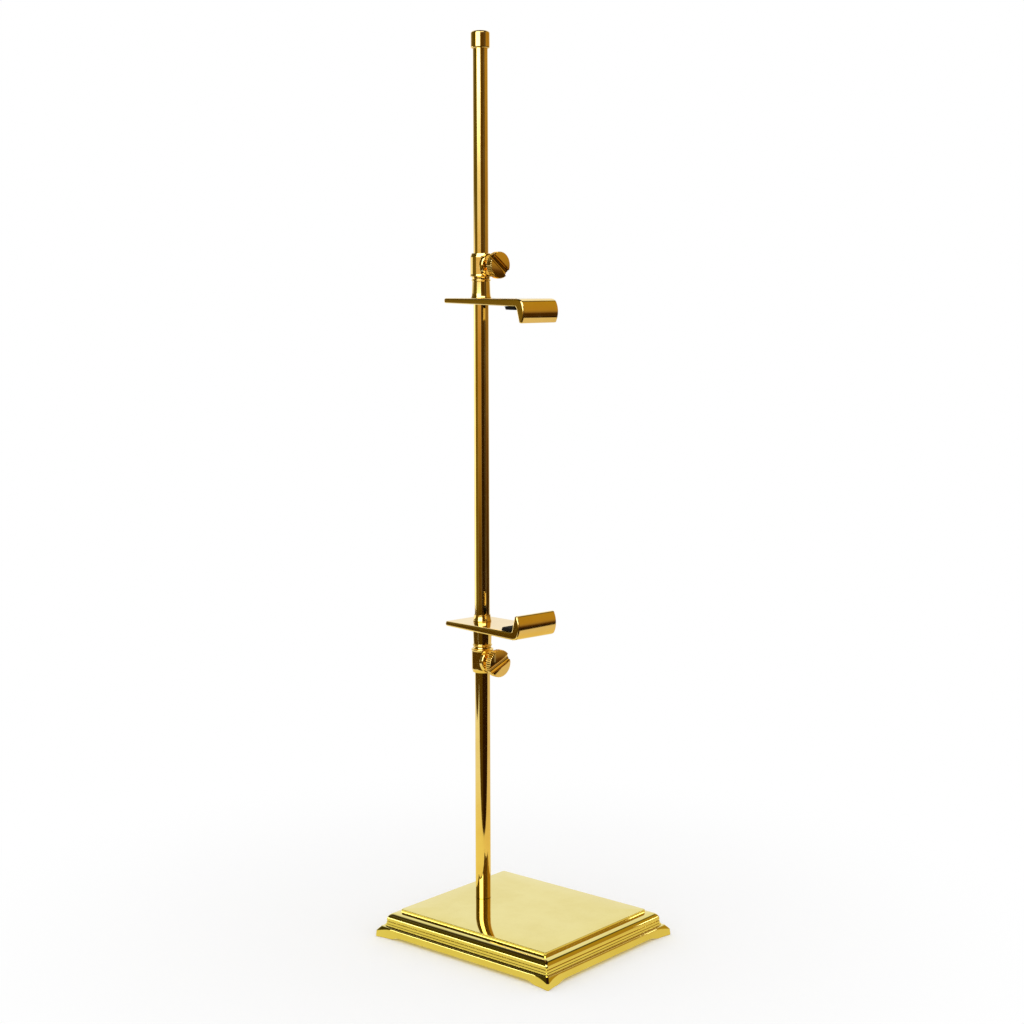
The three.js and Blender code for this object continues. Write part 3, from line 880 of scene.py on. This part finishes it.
def neck(bracket, has_gland):
    """A barrel on the plate, a tube through the plate and a sleeve up into the collar."""
    grip_face = -bracket.thickness(0)
    top = bracket.collar_start - NECK_GAP
    bore = LINER_BORE
    gland = outline(
        (bore, grip_face - 5.5),
        [(bore + 0.35, grip_face - 5.5)],
        [(7.1, grip_face - 3.2), (7.6, grip_face - 1.4)],
        [(7.8, grip_face - 0.7), (7.55, grip_face - 0.05)],
        [(NECK_TUBE_RADIUS, grip_face - 0.05)],
    )
    plain_end = [(bore, grip_face + 0.3), (NECK_TUBE_RADIUS, grip_face + 0.3)]
    barrel = outline(
        (NECK_TUBE_RADIUS, 0.05),
        [(8.35, 0.05)],
        [(8.75, 0.1), (8.6, 0.7)],  # foot
        [(8.1, 1.5), (7.85, 4)],
        [(7.5, top - 3.5)],
        [(7.55, top - 3.1), (7.9, top - 3)],
        [(8.25, top - 2.6), (8.1, top - 2.1)],  # bead
        [(7.9, top - 1.7), (7.5, top - 1.4)],
        [(7.45, top - 0.7)],
        [(7.7, top)],  # rim
        [(NECK_SLEEVE_RADIUS, top)],
        [(NECK_SLEEVE_RADIUS, top + NECK_SLEEVE_LENGTH)],
        [(bore, top + NECK_SLEEVE_LENGTH)],
        steps=5,
    )
    bracket.add("neck", turned((gland if has_gland else plain_end) + barrel), turned_brass)


COLLAR_RIM_STEP = 0.35


def collar(bracket):
    start, end, rim = bracket.collar_start, bracket.collar_end, bracket.collar_radius
    radius = rim - COLLAR_RIM_STEP
    profile = outline(
        (COLLAR_BORE, start),
        [(rim - 1.3, start)],
        [(rim - 0.2, start + 0.7)],
        [(rim + 0.05, start + 0.9), (rim, start + 1.3)],
        [(rim - 0.02, start + 1.8), (radius, start + 2.5)],
        [(radius, end - 3.4)],
        [(radius, end - 2.4), (radius - 0.35, end - 1.7)],
        [(COLLAR_BORE + 0.7, end - 0.15)],
        [(COLLAR_BORE + 0.5, end), (COLLAR_BORE + 0.35, end)],
        [(COLLAR_BORE, end - 0.35)],
        steps=5,
    )
    hole = cylinder(SCREW_HOLE_RADIUS, 0, 2 * rim, segments=32)
    hole.transform(Matrix.Translation((0, 0, bracket.screw_height)) @ Matrix.Rotation(math.pi / 2, 4, "X"))
    bracket.add("collar", combined(turned(profile), hole), turned_brass)


def friction_liner(bracket):
    """A thin split ring whose split faces the back."""
    low, high = bracket.box("friction_liner")
    half_gap = math.asin(LINER_SPLIT / 2 / LINER_RADIUS)
    edge = LINER_EDGE
    profile = outline(
        (LINER_BORE, low.z + edge),
        [(LINER_BORE + edge, low.z)],
        [(LINER_RADIUS - edge, low.z)],
        [(LINER_RADIUS, low.z + edge)],
        [(LINER_RADIUS, high.z - edge)],
        [(LINER_RADIUS - edge, high.z)],
        [(LINER_BORE + edge, high.z)],
        [(LINER_BORE, high.z - edge)],
    )
    ring = turned(profile, sweep=math.tau - 2 * half_gap)
    ring.transform(Matrix.Rotation(math.pi / 2 + half_gap, 4, "Z"))
    bracket.add("friction_liner", ring, liner_fibre)


BOSS_START = 7.5  # inside the collar, whose curve then cuts the boss back
SADDLE_GAP = 0.1


def screw_boss(bracket):
    low, high = bracket.box("screw_boss")
    radius = (high.x - low.x) / 2
    face, back = -low.y, BOSS_START
    profile = outline(
        (SCREW_HOLE_RADIUS, back),
        [(radius - 0.6, back)],
        [(radius, back), (radius, back + 0.6)],
        [(radius, face - 1.3)],
        [(radius - 0.02, face - 0.6), (radius - 0.75, face - 0.15)],
        [(radius - 1.1, face), (radius - 1.5, face)],
        [(SCREW_HOLE_RADIUS, face)],
    )
    saddle = cylinder(bracket.collar_radius + SADDLE_GAP, -2 * radius, 2 * radius)
    saddle.transform(Matrix.Rotation(math.pi / 2, 4, "X"))
    bracket.add("screw_boss", combined(turned(profile), saddle), turned_brass, along_screw=True)


SHOE_CLEARANCE = 0.12


def pressure_shoe(bracket):
    low, high = bracket.box("pressure_shoe")
    radius = (high.x - low.x) / 2 - SHOE_CLEARANCE
    back, face = -high.y + SHOE_CLEARANCE, -low.y
    profile = outline(
        (0, back),
        [(radius - 0.3, back)],
        [(radius, back), (radius, back + 0.3)],
        [(radius, face - 0.15)],
        [(radius, face), (radius - 0.15, face)],
        [(0, face)],
    )
    bracket.add("pressure_shoe", turned(profile, segments=48), turned_brass, along_screw=True)


THREAD_RADIUS = 2.8
THREAD_TIP_CHAMFER = 0.5
SHANK_START = 12.8  # the screw thickens from its thread to its shank this far from the rod's axis
SHANK_RADIUS = 4.4
SHANK_CHAMFER = 0.3
HEAD_THICKNESS = 6.8
KNURL_RIDGES = 36
KNURL_DEPTH = 0.5
POINTS_PER_RIDGE = 6
SLOT_RADIUS = 3.2
SLOT_AXIS_DEPTH = 0.3
SLOT_END_REACH = 9  # the slot's ends lie further from the screw's axis than this


def knurled(head_radius):
    """A radius rule that cuts rounded grooves into the head's rim and leaves the rest alone."""

    def radius_at(radius, _, angle):
        groove = (0.5 - 0.5 * math.cos(angle * KNURL_RIDGES)) ** 1.5
        return min(radius, head_radius - KNURL_DEPTH * groove)

    return radius_at


def thumbscrew(bracket, slot_angle):
    low, high = bracket.box("thumbscrew")
    radius = (high.x - low.x) / 2
    face, tip = -low.y, -high.y
    back = face - HEAD_THICKNESS
    profile = outline(
        (0, tip),
        [(THREAD_RADIUS - THREAD_TIP_CHAMFER, tip)],
        [(THREAD_RADIUS, tip + THREAD_TIP_CHAMFER)],
        [(THREAD_RADIUS, SHANK_START)],
        [(SHANK_RADIUS - SHANK_CHAMFER, SHANK_START)],
        [(SHANK_RADIUS, SHANK_START + SHANK_CHAMFER)],
        [(SHANK_RADIUS, back - 1)],
        [(SHANK_RADIUS + 0.1, back - 0.1), (SHANK_RADIUS + 1.2, back)],
        [(radius - 1.3, back)],
        [(radius - 0.3, back + 0.1), (radius, back + 0.9)],
        [(radius, back + 2)],
        [(radius, face - 2.2)],
        [(radius, face - 1.5)],
        [(radius - 0.1, face - 0.9), (radius - 0.8, face - 0.8)],
        [(radius / 2, face), (0, face)],  # slightly domed face
        steps=5,
    )
    blank = turned(profile, segments=KNURL_RIDGES * POINTS_PER_RIDGE, radius_at=knurled(radius))
    slot = cylinder(SLOT_RADIUS, -2 * radius, 2 * radius, segments=64)
    across = Matrix.Rotation(math.radians(slot_angle), 4, "Z") @ Matrix.Rotation(math.pi / 2, 4, "Y")
    slot.transform(Matrix.Translation((0, 0, face - SLOT_AXIS_DEPTH)) @ across)
    bracket.add("thumbscrew", combined(blank, slot), turned_brass, along_screw=True)


def slot_angle(bracket):
    """Direction of the slot across the head, from the CAD vertices on the slot's lowest line."""
    into = bracket.screw_place.inverted()
    node = frame["nodes"][f"{bracket.prefix}_thumbscrew"]
    points = [into @ vertex.co / MM for vertex in node.data.vertices]
    face = max(point.z for point in points)
    floor = face - SLOT_AXIS_DEPTH - SLOT_RADIUS
    ends = [point for point in points if abs(point.z - floor) < 0.05 and point.xy.length > SLOT_END_REACH]
    far = max(ends, key=lambda point: point.x)
    return math.degrees(math.atan2(far.y, far.x))


def build_bracket(prefix, has_gland):
    bracket = Bracket(prefix)
    bracket_plate(bracket)
    grip_pad(bracket)
    neck(bracket, has_gland)
    collar(bracket)
    friction_liner(bracket)
    screw_boss(bracket)
    pressure_shoe(bracket)
    thumbscrew(bracket, slot_angle(bracket))


base_casting()
rod()
rod_cap()
rod_foot_washer()
rod_foot_nut()
build_bracket("upper", has_gland=False)
build_bracket("lower", has_gland=True)

# ------------------------------------------------------------------ camera

VIEW_AZIMUTH = math.radians(-49.38)
TOWARD_CAMERA = Vector((math.sin(VIEW_AZIMUTH), -math.cos(VIEW_AZIMUTH), 0))
IMAGE_RIGHT = Vector((-TOWARD_CAMERA.y, TOWARD_CAMERA.x, 0))
CAMERA_DISTANCE = 1.5547
CAMERA_HEIGHT = 0.542
CAMERA_ASIDE = 0.026
CAMERA_ROLL = math.radians(-0.205)
LENS = 64.97
RISE = -0.2276  # the lens is shifted down, so that uprights stay parallel in the picture
AWAY = 0.05  # the lens is centred once the camera is this far from its own station, in metres


def add_camera():
    data = bpy.data.cameras.new("camera")
    data.lens = LENS
    camera = bpy.data.objects.new("camera", data)
    bpy.context.scene.collection.objects.link(camera)
    level = Matrix((IMAGE_RIGHT, Vector((0, 0, 1)), TOWARD_CAMERA)).transposed().to_4x4()
    rod_foot = Vector((ROD_X * MM, ROD_Y * MM, 0))
    station = rod_foot + TOWARD_CAMERA * CAMERA_DISTANCE + IMAGE_RIGHT * CAMERA_ASIDE
    station.z = CAMERA_HEIGHT
    camera.matrix_world = Matrix.Translation(station) @ level @ Matrix.Rotation(CAMERA_ROLL, 4, "Z")
    bpy.context.scene.camera = camera
    shift_only_at(station, camera)


def shift_only_at(station, camera):
    """Shifts the lens while the camera stands at its own station; seen from anywhere else it is centred."""
    marker = bpy.data.objects.new("camera_station", None)
    marker.location = station
    bpy.context.scene.collection.objects.link(marker)
    curve = camera.data.driver_add("shift_y")
    curve.driver.type = "SUM"
    distance = curve.driver.variables.new()
    distance.type = "LOC_DIFF"
    distance.targets[0].id = camera
    distance.targets[1].id = marker
    for modifier in list(curve.modifiers):
        curve.modifiers.remove(modifier)
    curve.keyframe_points.insert(0, RISE)
    curve.keyframe_points.insert(AWAY, 0)
    for key in curve.keyframe_points:
        key.interpolation = "LINEAR"
    curve.extrapolation = "CONSTANT"


# ------------------------------------------------------------------ studio

CARD_STRENGTH = 5
BACKDROP = (0.2, 0.2, 0.2)
CEILING = (0.004, 0.001, 0.003)
SOFT = 5  # degrees over which neighbouring cards run into each other

# Each card is what the brass mirrors over a stretch of azimuth, measured from the camera and growing to the
# right of the picture: stops of (elevation in degrees, colour as a share of CARD_STRENGTH).
BACK_STOPS = [
    (-90, (0.17, 0.165, 0.12)),
    (-3, (0.19, 0.185, 0.16)),
    (5, BACKDROP),
    (43, BACKDROP),
    (51, CEILING),
]
CARDS = [
    (-138, -104, [
        (-14, (0.32, 0.32, 0.30)),
        (0, (0.32, 0.32, 0.30)),
        (2.5, (0.03, 0.02, 0.002)),
        (40, (0.012, 0.009, 0.001)),
        (72, CEILING),
    ]),
    (-104, -54, [
        (-12, (0.034, 0.026, 0.004)),
        (-6, (0.038, 0.026, 0.003)),
        (-1.5, (0.040, 0.027, 0.004)),
        (3, (0.025, 0.018, 0.001)),
        (40, (0.012, 0.009, 0.001)),
        (72, CEILING),
    ]),
    (-54, -2, [
        (-16, (0.018, 0.010, 0)),
        (-8.4, (0.028, 0.014, 0.001)),
        (-5.3, (0.076, 0.044, 0.008)),
        (-1.6, (0.125, 0.070, 0.020)),
        (1.2, (0.170, 0.130, 0.070)),
        (3.8, (0.220, 0.220, 0.200)),
        (6, (0.8, 0.8, 0.75)),
        (50, (0.8, 0.8, 0.75)),
        (65, CEILING),
    ]),
    (-2, 50, [
        (-8, (0.005, 0.002, 0)),
        (-3.8, (0.007, 0.003, 0)),
        (1, (0.020, 0.010, 0.001)),
        (26, (0.028, 0.014, 0.001)),
        (32, (0.8, 0.8, 0.75)),
        (44, (0.8, 0.8, 0.75)),
        (52, CEILING),
    ]),
    (50, 70, [
        (-14, (0.012, 0.006, 0)),
        (-3, (0.012, 0.006, 0)),
        (2, (0.018, 0.010, 0)),
        (60, (0.018, 0.010, 0)),
        (72, CEILING),
    ]),
    (70, 138, [
        (-9, (0.012, 0.005, 0)),
        (-5.3, (0.026, 0.011, 0.002)),
        (-3.8, (0.045, 0.025, 0.007)),
        (1.5, (0.080, 0.048, 0.010)),
        (7, (0.095, 0.055, 0.008)),
        (35, (0.10, 0.062, 0.006)),
        (41, (0.015, 0.012, 0)),
        (75, CEILING),
    ]),
]


def elevation_ramp(graph, elevation, stops):
    return graph.ramp(elevation, [((degrees + 90) / 180, colour) for degrees, colour in stops])


def add_world():
    """Brass mirrors a studio of cards; matt surfaces are lit by plain white, which the camera sees too."""
    world = bpy.data.worlds.new("studio")
    world.use_nodes = True
    bpy.context.scene.world = world
    graph = Graph(world.node_tree)
    direction = graph.add("TexCoord").outputs["Generated"]
    forward = graph.dot(direction, TOWARD_CAMERA)
    right = graph.dot(direction, IMAGE_RIGHT)
    up = graph.dot(direction, (0, 0, 1))
    azimuth = graph.maths("DEGREES", graph.maths("ARCTAN2", right, forward))
    elevation = graph.maths("MULTIPLY_ADD", graph.maths("ARCSINE", up), 1 / math.pi, 0.5)
    colour = elevation_ramp(graph, elevation, BACK_STOPS)
    for start, end, stops in CARDS:
        after_start = graph.smooth_step(azimuth, start - SOFT / 2, start + SOFT / 2)
        past_end = graph.smooth_step(azimuth, end - SOFT / 2, end + SOFT / 2)
        share = graph.maths("SUBTRACT", after_start, past_end)
        colour = graph.mix(share, colour, elevation_ramp(graph, elevation, stops))
    studio = graph.add("Background", {"Color": colour, "Strength": CARD_STRENGTH})
    plain = graph.add("Background", {"Color": (1, 1, 1, 1), "Strength": 1})
    mirrored = graph.add("LightPath").outputs["Is Glossy Ray"]
    shader = graph.add("MixShader", {0: mirrored, 1: plain.outputs[0], 2: studio.outputs[0]})
    graph.add("OutputWorld", {"Surface": shader.outputs[0]})


# The floor and the paper on it, in metres from the rod.
FLOOR_RADIUS = 1.5
PAPER_FRONT = 0.27
PAPER_LEFT = -0.72
PAPER_RIGHT = 1.15
PAPER_EDGE_SLANT = -0.30
PAPER_EDGE_CURVE = 0.13
PAPER_EDGE_SOFT = 0.01
# Painted reflection of the dark room beyond the paper, as the brass mirrors it.
ROOM_LEFT = (0.09, 0.05, 0.001)
ROOM_RIGHT = (0.024, 0.009, 0)


def paper_seen(graph, place, reach):
    """What the camera sees: paper that takes the stand's shadow and melts into pure white further out."""
    grain = graph.between(graph.noise(place, 800, 3), 0.94, 0.98)
    paper_colour = graph.add("CombineColor", {0: grain, 1: grain, 2: grain}).outputs[0]
    paper = graph.add("BsdfDiffuse", {"Color": paper_colour})
    white = graph.add("Emission", {"Color": (1, 1, 1, 1), "Strength": 1})
    share = graph.smooth_step(reach, 0.12, 0.5)
    return graph.add("MixShader", {0: share, 1: paper.outputs[0], 2: white.outputs[0]}).outputs[0]


def painted_paper_reflection(graph, right, reach):
    """Painted reflection of the paper, seen only in the brass: a glow, more orange to the right, where it
    stands in for warm light, and paler further out.
    """
    far = graph.smooth_step(reach, 0.2, 0.6)
    left_side = graph.mix(far, rgba((0.92, 0.82, 0.36)), rgba((0.95, 0.95, 0.85)))
    right_side = graph.mix(far, rgba((0.85, 0.68, 0.30)), rgba((0.78, 0.66, 0.46)))
    return graph.mix(graph.smooth_step(right, -0.15, 0.35), left_side, right_side)


def off_paper(graph, forward, right):
    """1 beyond the paper: past its slanted, curving front edge or past its left or right edge."""
    slant = graph.maths("MULTIPLY", right, PAPER_EDGE_SLANT)
    curve = graph.maths("MULTIPLY", graph.maths("MULTIPLY", right, right), PAPER_EDGE_CURVE)
    from_edge = graph.maths("SUBTRACT", forward, graph.maths("ADD", slant, curve))
    past_front = graph.smooth_step(from_edge, PAPER_FRONT - PAPER_EDGE_SOFT, PAPER_FRONT + PAPER_EDGE_SOFT)
    past_left = graph.smooth_step(right, PAPER_LEFT, PAPER_LEFT - 3 * PAPER_EDGE_SOFT)
    past_right = graph.smooth_step(right, PAPER_RIGHT, PAPER_RIGHT + 3 * PAPER_EDGE_SOFT)
    return graph.maths("MAXIMUM", past_front, graph.maths("MAXIMUM", past_left, past_right))


def floor_material():
    """White paper. In the brass it is a painted reflection that glows: bright under the stand, ending in the
    dark room in front of it.
    """
    material, graph = new_material("studio_floor")
    place = graph.add("TexCoord").outputs["Object"]
    reach = graph.add("VectorMath", {0: place}, operation="LENGTH").outputs["Value"]
    forward = graph.dot(place, TOWARD_CAMERA)
    right = graph.dot(place, IMAGE_RIGHT)
    room = graph.mix(graph.smooth_step(right, -0.1, 0.1), rgba(ROOM_LEFT), rgba(ROOM_RIGHT))
    colour = graph.mix(off_paper(graph, forward, right), painted_paper_reflection(graph, right, reach), room)
    # Glossy rays see painted reflection here: a glow, not lit paper.
    mirrored = graph.add("Emission", {"Color": colour, "Strength": 1})
    glossy = graph.add("LightPath").outputs["Is Glossy Ray"]
    seen = paper_seen(graph, place, reach)
    shader = graph.add("MixShader", {0: glossy, 1: seen, 2: mirrored.outputs[0]})
    graph.add("OutputMaterial", {"Surface": shader.outputs[0]})
    return material


def add_floor():
    shape = bmesh.new()
    bmesh.ops.create_circle(shape, cap_ends=True, segments=96, radius=FLOOR_RADIUS)
    floor = new_object("floor", shape, floor_material())
    floor.location = (ROD_X * MM, ROD_Y * MM, cad_low.z)


# Only brass below this height mirrors the low cards: the base's sides and the dipped rim of its top.
MIRRORED_BELOW = (BASE_HEIGHT - 0.3) * MM
CARD_REACH = 0.55
CARD_STEPS = 24
CARD_FOOT = 0.001
GOLD_TOP = 0.034
WHITE_FOOT = 0.042
WHITE_TOP = 0.100
FRONT_TOP = 0.15
SPARK_FOOT = 0.085
SPARK_TOP = 0.125
LEFT_CARD = (-120, -62)
FRONT_CARD = (-62, 75)
RIGHT_CARD = (75, 140)
SPARK_CARD = (96, 98.5)


def only_mirrored(name, colour, strength):
    """A card mirrored only by brass below MIRRORED_BELOW; otherwise unseen, lighting and shading nothing."""
    material, graph = new_material(name)
    lit = graph.add("Emission", {"Color": rgba(colour), "Strength": strength})
    absent = graph.add("BsdfTransparent")
    ray = graph.add("LightPath")
    place = graph.add("NewGeometry")
    here = graph.dot(place.outputs["Position"], (0, 0, 1))
    rise_to_mirror = graph.dot(place.outputs["Incoming"], (0, 0, 1))
    mirror_height = graph.maths("MULTIPLY_ADD", rise_to_mirror, ray.outputs["Ray Length"], here)
    low_mirror = graph.maths("LESS_THAN", mirror_height, MIRRORED_BELOW)
    share = graph.maths("MULTIPLY", ray.outputs["Is Glossy Ray"], low_mirror)
    shader = graph.add("MixShader", {0: share, 1: absent.outputs[0], 2: lit.outputs[0]})
    graph.add("OutputMaterial", {"Surface": shader.outputs[0]})
    return material


def add_low_card(name, azimuths, heights, colour, strength=1):
    """An upright card curved round the base, between two azimuths from the camera and two heights."""
    shape = bmesh.new()
    lower, upper = [], []
    for k in range(CARD_STEPS + 1):
        azimuth = math.radians(azimuths[0] + (azimuths[1] - azimuths[0]) * k / CARD_STEPS)
        way = TOWARD_CAMERA * math.cos(azimuth) + IMAGE_RIGHT * math.sin(azimuth)
        lower.append(shape.verts.new(way * CARD_REACH + Vector((0, 0, heights[0]))))
        upper.append(shape.verts.new(way * CARD_REACH + Vector((0, 0, heights[1]))))
    for k in range(CARD_STEPS):
        shape.faces.new((lower[k], lower[k + 1], upper[k + 1], upper[k]))
    new_object(name, shape, only_mirrored(name, colour, strength))


def add_low_cards():
    """What the base's mouldings mirror to their left, front and right, close to the floor."""
    add_low_card("left_gold_card", LEFT_CARD, (CARD_FOOT, GOLD_TOP), (0.95, 0.84, 0.30))
    add_low_card("left_dark_card", LEFT_CARD, (GOLD_TOP, WHITE_FOOT), (0.12, 0.15, 0.01))
    add_low_card("left_white_card", LEFT_CARD, (WHITE_FOOT, WHITE_TOP), (1, 1, 0.95), 4)
    add_low_card("front_dark_card", FRONT_CARD, (CARD_FOOT, FRONT_TOP), (0.05, 0.04, 0.002))
    add_low_card("right_gold_card", RIGHT_CARD, (CARD_FOOT, GOLD_TOP), (0.92, 0.76, 0.33))
    add_low_card("right_spark_card", SPARK_CARD, (SPARK_FOOT, SPARK_TOP), (1, 1, 1), 5)


add_camera()
add_world()
add_floor()
add_low_cards()
bpy.context.scene.view_settings.view_transform = "Standard"
